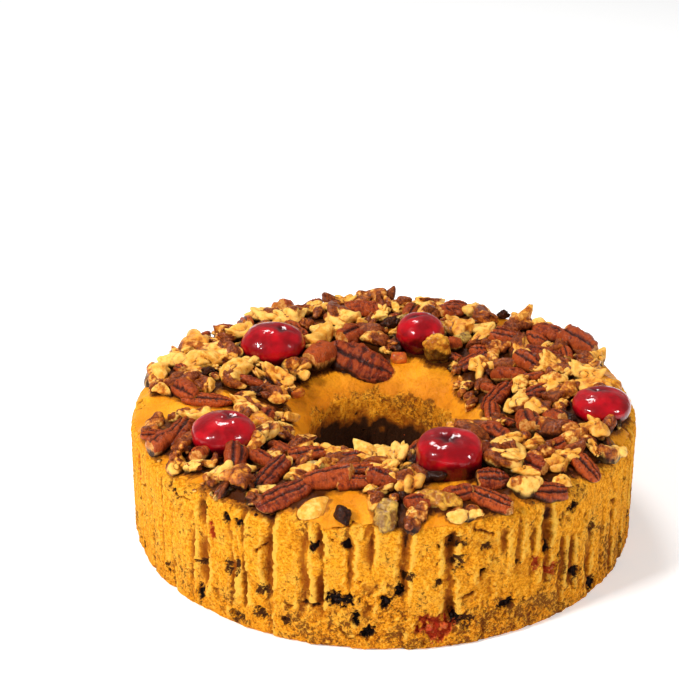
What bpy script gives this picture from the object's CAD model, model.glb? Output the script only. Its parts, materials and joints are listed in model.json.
import json
import math
import random

import bpy
import numpy as np
from mathutils import Matrix, Vector, noise
from mathutils.bvhtree import BVHTree

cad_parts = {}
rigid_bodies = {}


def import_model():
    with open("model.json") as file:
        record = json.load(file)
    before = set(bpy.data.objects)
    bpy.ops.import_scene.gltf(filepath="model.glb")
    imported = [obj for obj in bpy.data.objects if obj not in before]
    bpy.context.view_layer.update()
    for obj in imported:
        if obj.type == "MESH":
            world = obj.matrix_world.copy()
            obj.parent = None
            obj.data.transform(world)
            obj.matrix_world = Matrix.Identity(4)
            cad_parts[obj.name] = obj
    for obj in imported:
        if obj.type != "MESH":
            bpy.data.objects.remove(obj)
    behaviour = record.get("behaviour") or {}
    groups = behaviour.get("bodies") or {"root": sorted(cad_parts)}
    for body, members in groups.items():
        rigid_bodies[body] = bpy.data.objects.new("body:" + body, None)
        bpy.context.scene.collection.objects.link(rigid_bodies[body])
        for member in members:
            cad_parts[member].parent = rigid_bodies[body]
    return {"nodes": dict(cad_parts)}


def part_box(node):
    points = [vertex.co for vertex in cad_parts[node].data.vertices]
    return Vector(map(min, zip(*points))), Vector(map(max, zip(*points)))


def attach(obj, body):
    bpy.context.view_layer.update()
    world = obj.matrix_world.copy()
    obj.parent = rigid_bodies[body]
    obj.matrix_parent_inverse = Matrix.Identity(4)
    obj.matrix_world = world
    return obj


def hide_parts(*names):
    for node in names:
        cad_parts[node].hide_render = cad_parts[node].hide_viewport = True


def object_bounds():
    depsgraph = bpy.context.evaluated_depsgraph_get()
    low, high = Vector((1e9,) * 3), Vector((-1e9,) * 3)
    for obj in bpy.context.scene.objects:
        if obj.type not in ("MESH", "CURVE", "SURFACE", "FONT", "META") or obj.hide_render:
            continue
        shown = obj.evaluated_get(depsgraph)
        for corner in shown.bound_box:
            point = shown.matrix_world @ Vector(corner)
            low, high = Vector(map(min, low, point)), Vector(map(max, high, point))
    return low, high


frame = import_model()
nodes = frame["nodes"]
cadLow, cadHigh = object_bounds()
mm = 0.001
print("frame loaded with", len(nodes), "nodes")


# small tools, all lengths in millimetres

def smoothStep(low, high, value):
    t = np.clip((value - low) / (high - low), 0.0, 1.0)
    return t * t * (3.0 - 2.0 * t)


slopeTable = np.random.default_rng(3).normal(size=(256, 3))
slopeTable /= np.linalg.norm(slopeTable, axis=1)[:, None]
cellKey = np.array([73856093, 19349663, 83492791], dtype=np.int64)


def mixKey(cell, seed):
    key = cell @ cellKey + seed * 668265263
    key = (key ^ (key >> 15)) * 2246822519 & 0xFFFFFFFF
    return key ^ (key >> 13)


def rolling(places, size, seed=0):
    # smooth random rise and fall, about -1 to 1
    cells = places / size + 500.0
    base = np.floor(cells)
    part = cells - base
    fade = part ** 3 * (part * (part * 6.0 - 15.0) + 10.0)
    base = base.astype(np.int64)
    total = np.zeros(len(places))
    for corner in np.ndindex(2, 2, 2):
        slope = slopeTable[mixKey(base + corner, seed) % 256]
        weight = np.prod(np.where(corner, fade, 1.0 - fade), axis=1)
        total += weight * np.einsum("ij,ij->i", slope, part - corner)
    return total * 1.8


def layered(places, size, depth=3, seed=0):
    total, share = 0.0, 1.0
    for step in range(depth):
        total = total + share * rolling(places, size * share, seed + 31 * step)
        share *= 0.5
    return total / (2.0 - 2.0 * share) * 1.3


def nearestDot(places, size, seed=0):
    # distance to the nearest of one dot per cell, and a random number of that dot
    cells = places / size + 500.0
    base = np.floor(cells).astype(np.int64)
    best = np.full(len(places), 9.0)
    chance = np.zeros(len(places))
    for step in np.ndindex(3, 3, 3):
        cell = base + np.array(step) - 1
        key = mixKey(cell, seed)
        dot = cell + np.stack([key % 1021, key // 7 % 1019, key // 61 % 1013], 1) / 1021.0
        far = np.linalg.norm(cells - dot, axis=1)
        closer = far < best
        best = np.where(closer, far, best)
        chance = np.where(closer, key // 131 % 997 / 997.0, chance)
    return best * size, chance


def meshFrom(name, points, faces, scale=mm):
    mesh = bpy.data.meshes.new(name)
    mesh.from_pydata((np.asarray(points) * scale).tolist(), [], faces)
    mesh.validate()
    mesh.shade_smooth()
    return mesh


def addMarks(mesh, marks):
    for name, values in marks.items():
        values = np.asarray(values, dtype=np.float32)
        kind, slot = ("FLOAT_VECTOR", "vector") if values.ndim == 2 else ("FLOAT", "value")
        layer = mesh.attributes.new(name, kind, "POINT")
        layer.data.foreach_set(slot, values.ravel())


def showPiece(name, points, faces, look, slot, stands=(), **marks):
    mesh = meshFrom(name, points, faces)
    addMarks(mesh, marks)
    mesh.materials.append(look)
    piece = bpy.data.objects.new(name, mesh)
    bpy.context.scene.collection.objects.link(piece)
    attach(piece, "root")
    if stands:
        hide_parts(*stands)
    return piece


def gridFaces(rows, columns, first=0):
    ring = np.arange(columns)
    after = (ring + 1) % columns
    base = first + np.arange(rows - 1)[:, None] * columns
    faces = np.stack([base + ring, base + after, base + columns + after, base + columns + ring], -1)
    return faces.reshape(-1, 4).tolist()


def readMesh(mesh, scale):
    points = np.empty(len(mesh.vertices) * 3)
    mesh.vertices.foreach_get("co", points)
    faces = [list(face.vertices) for face in mesh.polygons]
    return points.reshape(-1, 3) * scale, faces


def readNormals(points, faces):
    mesh = meshFrom("normals", points, faces, 1.0)
    normals = np.empty(len(points) * 3)
    mesh.vertex_normals.foreach_get("vector", normals)
    bpy.data.meshes.remove(mesh)
    return normals.reshape(-1, 3)


def reliefOf(points, faces, rounds):
    # how far each point stands above its own softened surroundings
    quads = np.array([face if len(face) == 4 else [*face, face[-1]] for face in faces])
    ends = np.concatenate([quads[:, [i, (i + 1) % 4]] for i in range(4)])
    ends = np.concatenate([ends, ends[:, ::-1]])
    count = np.bincount(ends[:, 0], minlength=len(points))[:, None]
    soft = points.copy()
    for _ in range(rounds):
        around = [
            np.bincount(ends[:, 0], weights=soft[ends[:, 1], axis], minlength=len(points)) for axis in range(3)
        ]
        soft = 0.3 * soft + 0.7 * np.stack(around, 1) / count
    return np.einsum("ij,ij->i", points - soft, readNormals(points, faces))


def meltTogether(parts, voxel, softening):
    # closed shapes melted into one skin of even quads
    points = np.concatenate([part[0] for part in parts])
    faces, first = [], 0
    for partPoints, partFaces in parts:
        faces += [[first + corner for corner in face] for face in partFaces]
        first += len(partPoints)
    melt = bpy.data.objects.new("melt", meshFrom("melt", points, faces, 1.0))
    bpy.context.scene.collection.objects.link(melt)
    remesh = melt.modifiers.new("skin", "REMESH")
    remesh.mode = "VOXEL"
    remesh.voxel_size = voxel
    soften = melt.modifiers.new("soften", "SMOOTH")
    soften.factor = 0.5
    soften.iterations = softening
    bpy.context.view_layer.update()
    evaluated = melt.evaluated_get(bpy.context.evaluated_depsgraph_get())
    skin = bpy.data.meshes.new_from_object(evaluated)
    result = readMesh(skin, 1.0)
    bpy.data.objects.remove(melt)
    return result


def ball(centre, size, columns=12, rows=8):
    down = np.linspace(0.0, math.pi, rows)[:, None]
    turn = np.linspace(0.0, 2.0 * math.pi, columns, endpoint=False)[None, :]
    points = np.stack([
        np.sin(down) * np.cos(turn),
        np.sin(down) * np.sin(turn),
        -np.cos(down) * np.ones_like(turn),
    ], -1).reshape(-1, 3)
    return points * size + centre, gridFaces(rows, columns)


# camera, floor and light

camera = {
    "place": (0.0, -0.6024, 0.3565),
    "toTheSide": -1.29,      # degrees that the view is turned off the cake's foot
    "upward": 4.98,
    "lens": 103.8,
}


def makeCamera():
    data = bpy.data.cameras.new("camera")
    data.lens = camera["lens"]
    data.sensor_width = 36.0
    data.clip_start = 0.01
    made = bpy.data.objects.new("camera", data)
    bpy.context.scene.collection.objects.link(made)
    place = Vector(camera["place"])
    ahead = -place.normalized()
    right = ahead.cross(Vector((0.0, 0.0, 1.0))).normalized()
    above = right.cross(ahead)
    aim = ahead + right * math.tan(math.radians(camera["toTheSide"]))
    aim += above * math.tan(math.radians(camera["upward"]))
    made.location = place
    made.rotation_euler = aim.to_track_quat("-Z", "Y").to_euler()
    bpy.context.scene.camera = made


studio = {
    "sky": 0.22,
    "boxes": (
        # place, size, watts
        ((-0.15, 0.4, 0.75), 0.22, 3.2),
        ((-0.62, -0.5, 0.66), 0.17, 9.8),
        ((0.75, -0.5, 0.5), 0.16, 3.6),
    ),
    "floorTone": 0.92,
    "floorGlow": 0.33,
}


def makeStudio():
    world = bpy.data.worlds.new("studio")
    world.use_nodes = True
    backdrop = world.node_tree.nodes["Background"]
    backdrop.inputs["Color"].default_value = (1.0, 0.985, 0.965, 1.0)
    backdrop.inputs["Strength"].default_value = studio["sky"]
    bpy.context.scene.world = world
    for number, (place, size, watts) in enumerate(studio["boxes"], 1):
        data = bpy.data.lights.new(f"softbox{number}", "AREA")
        data.shape = "SQUARE"
        data.size = size
        data.energy = watts
        lamp = bpy.data.objects.new(data.name, data)
        lamp.location = place
        lamp.rotation_euler = Vector(place).to_track_quat("Z", "Y").to_euler()
        bpy.context.scene.collection.objects.link(lamp)
    floor = bpy.data.objects.new("floor", meshFrom("floor", [
        (-4000.0, -4000.0, -0.2), (4000.0, -4000.0, -0.2), (4000.0, 4000.0, -0.2), (-4000.0, 4000.0, -0.2),
    ], [[0, 1, 2, 3]]))
    paper = bpy.data.materials.new("paper")
    paper.use_nodes = True
    shader = paper.node_tree.nodes["Principled BSDF"]
    shader.inputs["Base Color"].default_value = (studio["floorTone"],) * 3 + (1.0,)
    shader.inputs["Roughness"].default_value = 0.6
    shader.inputs["Emission Color"].default_value = (1.0, 1.0, 1.0, 1.0)
    shader.inputs["Emission Strength"].default_value = studio["floorGlow"]
    floor.data.materials.append(paper)
    bpy.context.scene.collection.objects.link(floor)
    bpy.context.scene.view_settings.view_transform = "Standard"


makeCamera()
makeStudio()
print("camera and studio ready")


# materials

def paint(code):
    parts = [int(code[i:i + 2], 16) / 255.0 for i in (1, 3, 5)]
    return tuple(p / 12.92 if p <= 0.04045 else ((p + 0.055) / 1.055) ** 2.4 for p in parts) + (1.0,)


class Look:
    # one material and the few kinds of node that it is built from

    def __init__(self, name, **settings):
        self.material = bpy.data.materials.new(name)
        self.material.use_nodes = True
        self.tree = self.material.node_tree
        self.shader = self.tree.nodes["Principled BSDF"]
        for socket, value in settings.items():
            self.shader.inputs[socket.replace("_", " ")].default_value = value
        where = self.make("TexCoord", "Object")
        self.place = self.make("VectorMath", 0, {0: where, "Scale": 1.0 / mm}, operation="SCALE")

    def feed(self, socket, value):
        if isinstance(value, (int, float, tuple)):
            socket.default_value = value
        else:
            self.tree.links.new(value, socket)

    def make(self, kind, output, sockets=(), **settings):
        node = self.tree.nodes.new("ShaderNode" + kind)
        for name, value in settings.items():
            setattr(node, name, value)
        for socket, value in dict(sockets).items():
            self.feed(node.inputs[socket], value)
        return node.outputs[output]

    def mark(self, name, output="Fac"):
        return self.make("Attribute", output, attribute_name=name)

    def marks(self, names):
        return [self.mark(name) for name in names.split()]

    def stretch(self, x, y, z, place):
        return self.make("VectorMath", 0, {0: place, 1: (x, y, z)}, operation="MULTIPLY")

    def cloud(self, size, detail=3.0, rough=0.6, twist=0.0, place=None):
        return self.make("TexNoise", "Fac", {
            "Vector": place or self.place, "Scale": 1.0 / size, "Detail": detail, "Roughness": rough,
            "Distortion": twist,
        })

    def span(self, value, low, high, toLow=0.0, toHigh=1.0):
        return self.make("MapRange", "Result", {
            "Value": value, "From Min": low, "From Max": high, "To Min": toLow, "To Max": toHigh,
        }, interpolation_type="SMOOTHSTEP")

    def add(self, a, b):
        return self.make("Math", 0, {0: a, 1: b}, operation="ADD")

    def minus(self, a, b):
        return self.make("Math", 0, {0: a, 1: b}, operation="SUBTRACT")

    def times(self, a, b):
        return self.make("Math", 0, {0: a, 1: b}, operation="MULTIPLY")

    def blend(self, share, a, b):
        return self.make("Mix", 2, {"Factor": share, 6: a, 7: b}, data_type="RGBA")

    def over(self, colour, value, low, high, tone, most=1.0):
        # a tone laid over a colour where a value goes from low to high
        return self.blend(self.span(value, low, high, 0.0, most), colour, tone)

    def finish(self, colour, roughness, height, relief):
        self.feed(self.shader.inputs["Base Color"], colour)
        if roughness is not None:
            self.feed(self.shader.inputs["Roughness"], roughness)
        normal = self.make("Bump", "Normal", {"Distance": relief * mm, "Height": height})
        self.feed(self.shader.inputs["Normal"], normal)
        if self.shader.inputs["Coat Weight"].default_value > 0.0:
            self.feed(self.shader.inputs["Coat Normal"], normal)
        return self.material


def paintAll(codes):
    return {name: paint(code) for name, code in codes.items()}


doughTones = {
    "crumb": "#fba71c",
    "crumbPale": "#ffca52",
    "crumbDeep": "#cd740a",
    "crust": "#e68d12",
    "crustDeep": "#984a06",
    "speck": "#6a3008",
    "skin": "#e68c10",
    "skinLight": "#fba520",
    "glaze": "#a35a10",
    "syrup": "#401806",
    "raisin": "#120604",
    "husk": "#5e3412",
    "fruit": "#a8200e",
    "fruitLight": "#ea6a30",
    "hole": "#241004",
}


def doughLook():
    t = paintAll(doughTones)
    look = Look("bakedDough", Subsurface_Weight=0.05, Subsurface_Scale=0.0008, Specular_IOR_Level=0.12,
                Subsurface_Radius=(1.0, 0.35, 0.08))
    crumbMark, low, deep, browned, proud, dark, red = look.marks("crumb low deep browned proud dark red")
    sand = look.cloud(0.9, 3.0, 0.75)
    specks = look.cloud(1.5, 4.0, 0.8)
    coarse = look.cloud(2.6, 3.0, 0.6)
    patchy = look.cloud(7.0, 3.0, 0.6)
    broad = look.cloud(15.0, 2.0, 0.5)
    ragged = look.times(look.minus(specks, 0.5), 2.4)

    # the torn crumb of the wall and the hole
    brown = look.times(browned, look.span(coarse, 0.3, 0.66, 0.25, 1.0))
    light = look.blend(brown, t["crumb"], t["crust"])
    shade = look.blend(brown, t["crumbDeep"], t["crustDeep"])
    crumb = look.over(shade, sand, 0.36, 0.56, light)
    crumb = look.over(crumb, sand, 0.53, 0.7, t["crumbPale"], 0.6)
    crumb = look.over(crumb, patchy, 0.45, 0.7, t["crumbPale"], 0.25)
    crumb = look.over(crumb, proud, 0.2, 0.95, t["crumbPale"], 0.6)
    crumb = look.over(crumb, proud, -0.1, -0.9, t["crustDeep"], 0.7)
    where = look.add(look.add(specks, look.times(patchy, 0.45)), look.times(browned, 0.13))
    speck = look.span(look.minus(where, look.times(proud, 0.06)), 0.83, 0.92, 0.0, 0.85)
    crumb = look.blend(speck, crumb, t["speck"])

    # the smooth skin of the top
    skin = look.over(t["skin"], broad, 0.35, 0.65, t["skinLight"])
    skin = look.blend(look.span(sand, 0.32, 0.6, 0.5, 0.0), skin, t["crumbDeep"])
    skin = look.over(skin, specks, 0.6, 0.72, t["crustDeep"], 0.35)
    skin = look.blend(look.times(browned, look.span(patchy, 0.3, 0.7, 0.3, 1.0)), skin, t["crumbDeep"])

    tone = look.over(skin, look.add(crumbMark, look.times(ragged, 0.4)), 0.1, 0.9, crumb)
    tone = look.over(tone, low, 0.1, 0.6, t["crustDeep"], 0.85)
    tone = look.over(tone, low, 0.5, 0.95, t["hole"], 0.95)
    raisin = look.over(t["husk"], dark, 0.6, 0.8, t["raisin"])
    tone = look.over(tone, look.add(dark, ragged), 0.4, 0.62, raisin)
    fruit = look.over(t["fruit"], look.minus(specks, red), -0.25, 0.15, t["fruitLight"])
    tone = look.over(tone, look.add(red, ragged), 0.35, 0.7, fruit, 0.9)
    wet = look.add(deep, look.times(look.minus(coarse, 0.5), 0.8))
    tone = look.over(tone, wet, 0.15, 0.45, t["glaze"], 0.8)
    tone = look.over(tone, wet, 0.4, 0.8, t["syrup"], 0.95)
    rough = look.span(look.minus(crumbMark, wet), 0.0, 1.0, 0.4, 0.9)
    bumpy = look.minus(look.add(sand, look.times(specks, 0.5)), look.times(speck, 0.4))
    return look.finish(tone, rough, look.times(bumpy, look.span(crumbMark, 0.0, 1.0, 0.35, 1.0)), 1.0)


nutTones = {
    "walnut": "#ffca66",
    "walnutGold": "#eda337",
    "walnutAmber": "#b8621a",
    "skin": "#5c220c",
    "skinLight": "#9a4c1c",
    "dark": "#2c0b04",
    "pecan": "#6e1e0a",
    "pecanRidge": "#b44c1a",
    "pecanFlesh": "#dfa152",
    "syrup": "#200a03",
}


def walnutLook():
    t = paintAll(nutTones)
    look = Look("walnut", Subsurface_Weight=0.1, Subsurface_Scale=0.0012, Coat_Weight=0.35, Coat_Roughness=0.05,
                Coat_IOR=1.4, Specular_IOR_Level=0.08, Subsurface_Radius=(1.0, 0.5, 0.15))
    skin, low, tone, relief, deep = look.marks("skin low tone relief deep")
    mottle = look.cloud(2.2, 3.0, 0.6)
    fine = look.cloud(0.6, 3.0, 0.7)
    veins = look.cloud(1.2, 3.0, 0.7, 1.2)
    shade = look.add(mottle, look.times(tone, 0.16))
    flesh = look.over(t["walnut"], shade, 0.3, 0.55, t["walnutGold"])
    flesh = look.over(flesh, shade, 0.55, 0.8, t["walnutAmber"])
    flesh = look.over(flesh, fine, 0.5, 0.68, t["walnutAmber"], 0.3)
    flesh = look.over(flesh, relief, 0.1, 0.9, t["walnut"], 0.6)
    flesh = look.over(flesh, relief, 0.0, -0.9, t["walnutAmber"], 0.9)
    husk = look.over(t["skin"], veins, 0.4, 0.62, t["skinLight"])
    husk = look.over(husk, relief, -0.1, -0.9, t["dark"], 0.9)
    ragged = look.times(look.minus(mottle, 0.5), 1.3)
    edge = look.add(skin, ragged)
    colour = look.over(flesh, edge, 0.2, 0.5, t["walnutAmber"])
    colour = look.over(colour, edge, 0.44, 0.64, husk)
    colour = look.over(colour, low, 0.1, 0.9, t["skin"], 0.85)
    colour = look.over(colour, look.add(deep, look.times(ragged, 0.3)), 0.1, 0.75, t["syrup"], 0.96)
    bumpy = look.add(look.times(mottle, 0.8), look.times(fine, 0.5))
    return look.finish(colour, look.span(fine, 0.3, 0.7, 0.35, 0.55), bumpy, 0.5)


def pecanLook():
    t = paintAll(nutTones)
    look = Look("pecan", Coat_Weight=0.35, Coat_Roughness=0.05, Coat_IOR=1.4, Specular_IOR_Level=0.08)
    cut, low, tone, relief, deep = look.marks("cut low tone relief deep")
    own = look.mark("own", "Vector")
    wrinkles = look.cloud(1.3, 3.0, 0.65, 0.6, look.stretch(1.9, 0.7, 0.7, own))
    streak = look.cloud(1.6, 3.0, 0.6, 0.0, look.stretch(0.5, 1.3, 1.3, own))
    fine = look.cloud(0.5, 2.0, 0.6)
    shade = look.add(look.add(look.times(wrinkles, 0.6), look.times(streak, 0.4)), look.times(tone, 0.07))
    husk = look.over(t["pecan"], shade, 0.4, 0.62, t["pecanRidge"])
    husk = look.over(husk, relief, 0.15, 0.9, t["pecanRidge"], 0.5)
    husk = look.over(husk, relief, 0.0, -0.8, t["dark"], 0.8)
    husk = look.over(husk, low, 0.1, 0.9, t["dark"], 0.85)
    flesh = look.over(t["pecanFlesh"], wrinkles, 0.35, 0.65, t["walnutAmber"])
    colour = look.over(husk, look.add(cut, look.times(look.minus(streak, 0.5), 0.8)), 0.45, 0.62, flesh)
    colour = look.over(colour, deep, 0.1, 0.8, t["syrup"], 0.95)
    bumpy = look.add(wrinkles, look.times(fine, 0.4))
    return look.finish(colour, look.span(streak, 0.3, 0.7, 0.35, 0.5), bumpy, 0.8)


fruitTones = {
    "cherry": "#86040f",
    "cherryLight": "#bd0718",
    "cherryFold": "#2c0107",
    "cherryFoot": "#2a0206",
    "amber": "#eda72e",
    "amberDeep": "#b4661a",
    "pale": "#c8a24a",
    "paleDeep": "#6a4620",
    "red": "#c43018",
    "redDeep": "#8c140a",
    "raisin": "#0c0403",
    "raisinLight": "#2a0f07",
    "wetRaisin": "#26100a",
    "wetRaisinLight": "#6a3418",
}


def cherryLook():
    t = paintAll(fruitTones)
    look = Look("cherry", Subsurface_Weight=0.12, Subsurface_Scale=0.003, Coat_Weight=1.0, Coat_Roughness=0.03,
                Coat_IOR=1.42, Roughness=0.3, Specular_IOR_Level=0.08, Subsurface_Radius=(1.0, 0.08, 0.05))
    low, deep = look.marks("low deep")
    colour = look.over(t["cherry"], look.cloud(6.0, 2.0, 0.5), 0.35, 0.7, t["cherryLight"])
    colour = look.over(colour, low, 0.0, 1.0, t["cherryFold"], 0.8)
    colour = look.over(colour, deep, 0.1, 1.0, t["cherryFoot"], 0.85)
    return look.finish(colour, None, look.cloud(2.6, 2.0, 0.5), 0.3)


def candiedLook():
    t = paintAll(fruitTones)
    look = Look("candiedFruit", Subsurface_Weight=0.3, Subsurface_Scale=0.002, Coat_Weight=0.5,
                Coat_Roughness=0.05, Coat_IOR=1.4, Roughness=0.4, Specular_IOR_Level=0.1,
                Subsurface_Radius=(1.0, 0.5, 0.15))
    redness, paleness, deep = look.marks("redness paleness deep")
    cloudy = look.cloud(1.8, 3.0, 0.6)
    streaky = look.span(look.cloud(3.0, 3.0, 0.6, 1.0), 0.35, 0.62)
    amber = look.blend(streaky, t["amber"], t["amberDeep"])
    pale = look.blend(streaky, t["pale"], t["paleDeep"])
    red = look.over(t["red"], cloudy, 0.3, 0.7, t["redDeep"])
    colour = look.blend(redness, look.blend(paleness, amber, pale), red)
    colour = look.over(colour, deep, 0.15, 0.9, paint(nutTones["syrup"]), 0.85)
    return look.finish(colour, None, cloudy, 0.7)


def raisinLook():
    t = paintAll(fruitTones)
    look = Look("raisin", Coat_Weight=0.3, Coat_Roughness=0.1, Coat_IOR=1.4, Specular_IOR_Level=0.05,
                Roughness=0.6)
    cloudy = look.cloud(1.0, 3.0, 0.7)
    dry = look.over(t["raisin"], cloudy, 0.35, 0.7, t["raisinLight"])
    wet = look.over(t["wetRaisin"], cloudy, 0.35, 0.65, t["wetRaisinLight"])
    return look.finish(look.blend(look.mark("husk"), dry, wet), None, cloudy, 0.6)


looks = {
    "dough": doughLook(),
    "raisin": raisinLook(),
    "walnut": walnutLook(),
    "pecan": pecanLook(),
    "cherry": cherryLook(),
    "candied": candiedLook(),
}
print("materials ready")


# where the toppings lie

def lyingFrame(node):
    # middle, axes and half size of a topping's own box: length first, then across, then up
    mesh = node.data
    mesh.calc_loop_triangles()
    points, _ = readMesh(mesh, 1.0 / mm)
    corners = np.array([points[list(tri.vertices)] for tri in mesh.loop_triangles])
    areas = np.linalg.norm(np.cross(corners[:, 1] - corners[:, 0], corners[:, 2] - corners[:, 0]), axis=1)
    centres = corners.mean(axis=1)
    middle = np.average(centres, axis=0, weights=areas)
    spread = (centres - middle).T @ ((centres - middle) * areas[:, None])
    along = np.linalg.eigh(spread)[1][:, 2]
    along = along * (1.0 if along[0] > 0.0 else -1.0)
    level = np.cross([0.0, 0.0, 1.0], along)
    level /= np.linalg.norm(level)
    above = np.cross(along, level)
    best = None
    for roll in np.radians(np.arange(-40.0, 41.0, 4.0)):
        across = level * math.cos(roll) + above * math.sin(roll)
        axes = np.stack([along, across, np.cross(along, across)], 1)
        local = (points - middle) @ axes
        low, high = local.min(axis=0), local.max(axis=0)
        section = (high - low)[1] * (high - low)[2] * (1.0 + 0.02 * abs(roll))
        if best is None or section < best[0]:
            best = (section, axes, low, high)
    _, axes, low, high = best
    return middle + axes @ ((low + high) / 2.0), axes, (high - low) / 2.0


kinds = ("cherry", "pecan", "walnut", "candied_fruit")
lying = {name: lyingFrame(nodes[name]) for name in sorted(nodes) if name.startswith(kinds)}


# further toppings by hand: kind, bearing, distance, length, width, height, turn
smallToppings = [
    ("husk", 170, 67, 11.7, 5, 4.5, -54),
    ("walnut", 143, 71, 8.5, 7, 6, 20),
    ("walnut", 136, 76, 5.5, 4.5, 4.5, 60),
    ("walnut", 139, 80.5, 5, 4, 4, 0),
    ("walnut", 150, 47.5, 7, 5.5, 4.5, 20),
    ("raisin", 165, 64, 6, 4, 4, 30),
    ("husk", 167, 61, 5, 4, 3, 80),
    ("pecan", 166, 48, 12.5, 4.5, 4, 8),
    ("raisin", 173, 45, 6, 4.5, 4, 0),
    ("walnut", 164, 37, 9, 5, 4.5, 40),
    ("fruit", 157, 33, 6, 4.5, 3.5, 10),
    ("walnut", 195, 34, 8.6, 5, 5, 60),
    ("walnut", 203, 36.5, 6, 5, 4.5, 0),
    ("walnut", 214, 38, 8, 5, 4.5, -50),
    ("fruitPale", 249, 60, 6.5, 5.5, 5, 0),
    ("pecan", 256, 46, 13, 5.5, 5, 6),
    ("walnutFlush", 255, 80, 12.5, 8.5, 6, 42),
    ("raisin", 262, 82, 7, 5.5, 4.5, -70),
    ("raisin", 275, 74, 5, 4, 3.5, 0),
    ("husk", 272.5, 75.5, 5, 4, 3.5, 50),
    ("walnut", 313, 83, 7, 5, 5, 20),
    ("husk", 326, 75, 9, 6, 5.5, 20),
    ("walnut", 342, 41, 10.8, 6, 5.5, -19),
    ("walnut", 30, 35, 6, 4.5, 4, 0),
    ("husk", 12, 32.5, 8, 5, 4, 70),
    ("walnut", 50, 40, 5.5, 4.5, 4, 0),
    ("husk", 46, 38, 5, 4, 4, 70),
    ("walnut", 31, 57.5, 7.5, 6.5, 6, 0),
    ("husk", 47, 70, 9.5, 6, 5.5, 10),
    ("walnut", 18, 58.5, 6.5, 5.5, 5, 0),
    ("husk", 13.5, 60, 6, 4, 4, 60),
    ("walnut", 12, 67, 5, 4.5, 5, 0),
    ("husk", 341, 80, 10, 6, 5, 60),
    ("husk", 353.5, 53.5, 8, 4, 4, 20),
    ("raisin", 343, 65.5, 10, 4, 4, -49),
    ("walnut", 350.5, 62.5, 7, 4.5, 4.5, 54),
    ("pecan", 15, 53, 13, 4, 4, 6),
    ("pecan", 109, 83, 9.5, 6, 5, 0),
    ("walnut", 106, 74.5, 7.5, 5, 5, 0),
    ("husk", 117, 64, 9, 6, 5.5, -20),
    ("walnut", 86, 69.5, 6, 5, 5, 0),
    ("raisin", 87, 59, 8, 5, 4.5, 10),
    ("fruitPale", 83, 60.5, 6, 5, 4, 0),
    ("fruit", 81.5, 39, 6, 4.5, 4, 0),
    ("fruitPale", 57, 54, 7, 5.5, 5, 0),
    ("raisin", 56, 80, 5, 4, 4, 0),
    ("pecan", 70, 78, 10.7, 5.5, 5, 28),
    ("walnut", 67, 65, 7.4, 5.5, 5, 0),
    ("walnut", 196, 72.5, 5, 5, 4.5, 0),
    ("husk", 193.5, 70, 6.5, 4, 3.5, 30),
    ("husk", 178, 78, 8, 6, 5, 0),
    ("walnut", 234, 83, 10, 5, 4.5, 55),
    ("walnut", 232.5, 71.5, 7, 5, 4.5, 20),
    ("walnut", 231, 57, 7.6, 5, 4.5, 30),
    ("walnut", 222, 80, 5, 8, 5, 60),
    ("husk", 223, 74.5, 7, 5, 4.5, 40),
    ("husk", 20, 33, 6, 4.5, 4, 40),
    ("husk", 28, 32, 5, 4, 3.5, 100),
    ("husk", 36, 34, 6, 4, 3.5, 60),
]

# places that stay bare dough: bearing, distance, half of its span in degrees, half of its depth
barePlaces = [
    (256, 79, 13, 8), (190, 72, 9, 13), (182, 54, 10, 5), (196, 56, 7, 6), (83, 33, 14, 7), (108, 31, 30, 5),
    (0, 31, 28, 4), (150, 31, 28, 5), (210, 31, 22, 5), (5, 84, 14, 6), (60, 34, 12, 6), (296, 74, 3, 4),
    (291, 68, 10, 5),
]


def isBare(bearing, distance):
    return any(
        abs((bearing - b + 180.0) % 360.0 - 180.0) < span and abs(distance - d) < depth
        for b, d, span, depth in barePlaces
    )


def flatPlace(bearing, distance):
    turn = math.radians(bearing)
    return distance * math.cos(turn), distance * math.sin(turn)


def footOfNode(name):
    middle, axes, half = lying[name]
    yaw = math.atan2(axes[1, 0], axes[0, 0])
    return middle[0], middle[1], half[0], half[1], yaw


def footOfSmall(row):
    x, y = flatPlace(row[1], row[2])
    return x, y, row[3] / 2.0, row[4] / 2.0, math.radians(row[6])


fill = {
    "seed": 21,
    "rounds": ((15.0, 900), (12.5, 1200), (10.5, 2000), (8.5, 2500), (6.5, 1500)),
    "inner": 37.0,
    "outer": 82.0,
    "crowding": 0.7,
    "kinds": {"walnut": 50, "husk": 22, "pecan": 25, "raisin": 1.5},
    "largestRaisin": 8.0,
}


def fillGaps(feet):
    # more toppings wherever there is room between those that are placed by hand
    rng = random.Random(fill["seed"])
    added = []
    taken = [(x, y, math.sqrt(a * b)) for x, y, a, b, _ in feet]
    for size, tries in fill["rounds"]:
        for _ in range(tries):
            distance = math.sqrt(rng.uniform(fill["inner"] ** 2, fill["outer"] ** 2))
            bearing = rng.uniform(0.0, 360.0)
            long = size * rng.uniform(0.9, 1.3)
            wide = long * rng.uniform(0.5, 0.8)
            x, y = flatPlace(bearing, distance)
            reach = math.sqrt(long * wide) / 2.0
            if isBare(bearing, distance):
                continue
            if any(math.hypot(x - u, y - v) < (reach + r) * fill["crowding"] for u, v, r in taken):
                continue
            taken.append((x, y, reach))
            kind = rng.choices(*zip(*fill["kinds"].items()))[0]
            if kind == "raisin" and long > fill["largestRaisin"]:
                kind = "pecan"
            added.append((kind, bearing, distance, long, wide, wide * rng.uniform(0.75, 0.95),
                          rng.uniform(0.0, 180.0)))
    return added


feet = [footOfNode(name) for name in lying] + [footOfSmall(row) for row in smallToppings]
filled = fillGaps(feet)
allSmall = smallToppings + filled
feet += [footOfSmall(row) for row in filled]
print("toppings laid out:", len(lying), "large,", len(smallToppings), "by hand,", len(filled), "in the gaps")


# the ring of dough

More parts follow.
